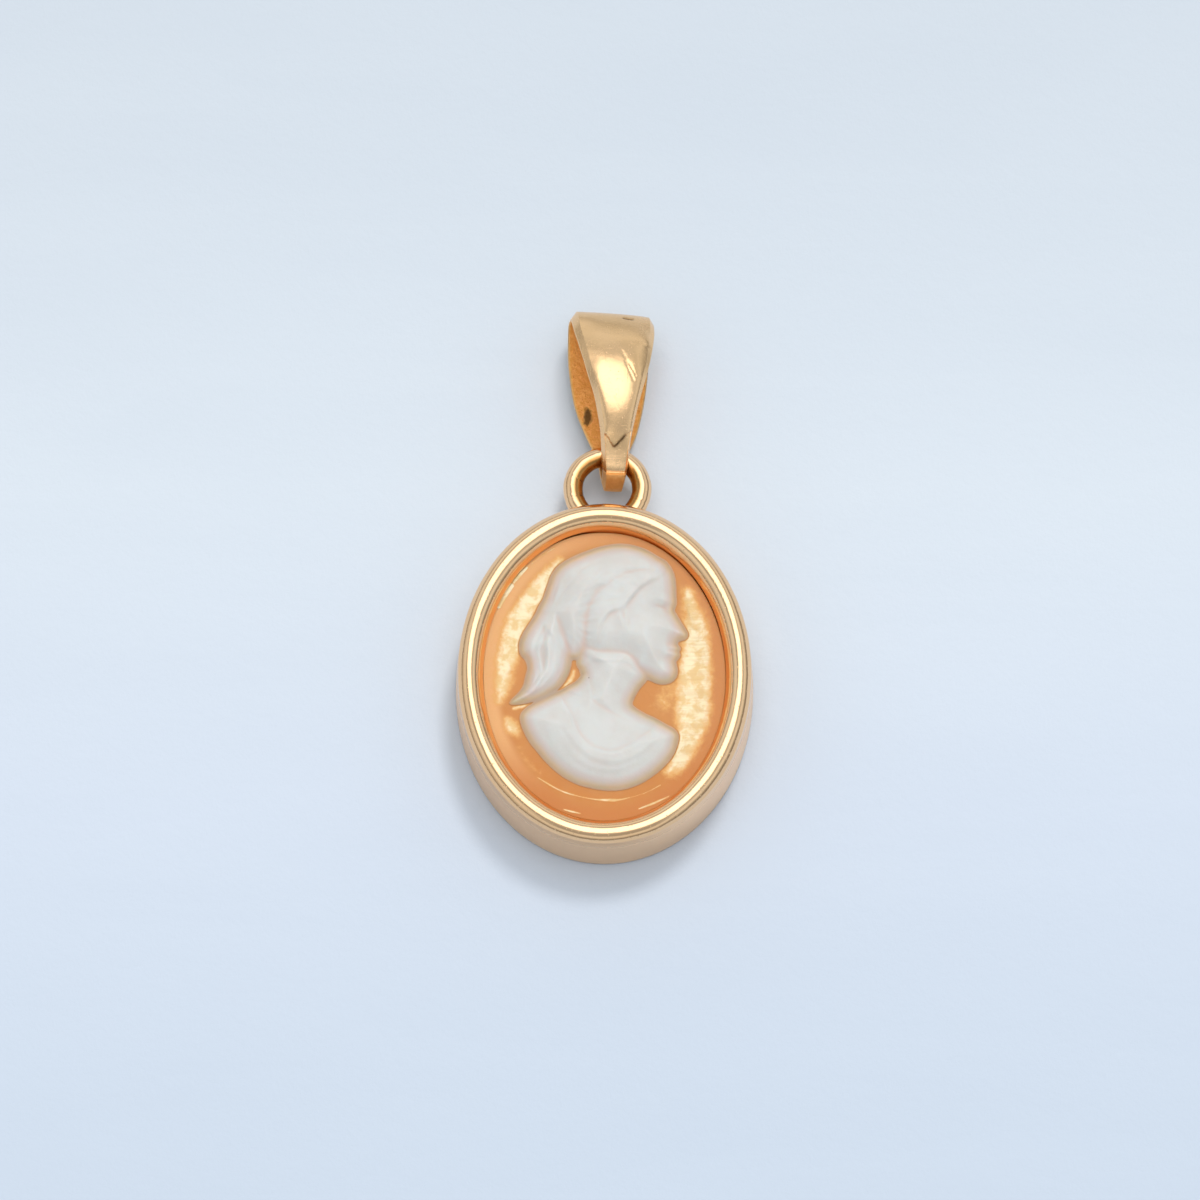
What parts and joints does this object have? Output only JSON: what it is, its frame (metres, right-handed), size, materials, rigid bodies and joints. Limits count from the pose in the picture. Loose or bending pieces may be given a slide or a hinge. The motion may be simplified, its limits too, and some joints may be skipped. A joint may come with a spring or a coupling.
{
  "type": "oval cameo pendant with bail",
  "caption": "Small oval cameo pendant: cast gold-tone bezel with rounded rim, closed back and soldered loop, shell plate with a carved profile bust, tapered strap bail.",
  "frame": {"origin": "middle of the bezel's flat oval back, which the pendant lies on", "axes": "+Z out of the carved face, +Y from the cameo towards the bail, +X to the right of the bust as it is looked at"},
  "size_m": [0.0098, 0.0188, 0.0028],
  "materials": {
    "gold_bezel": "polished gold plate",
    "gold_bail": "polished gold plate with fine scratches",
    "shell_ground": "polished pearly orange shell",
    "shell_relief": "soft polished pale shell"
  },
  "bodies": {
    "root": {"bezel": "gold_bezel", "shell_plate": "shell_ground", "relief_bust": "shell_relief", "bail": "gold_bail"}
  },
  "joints": []
}
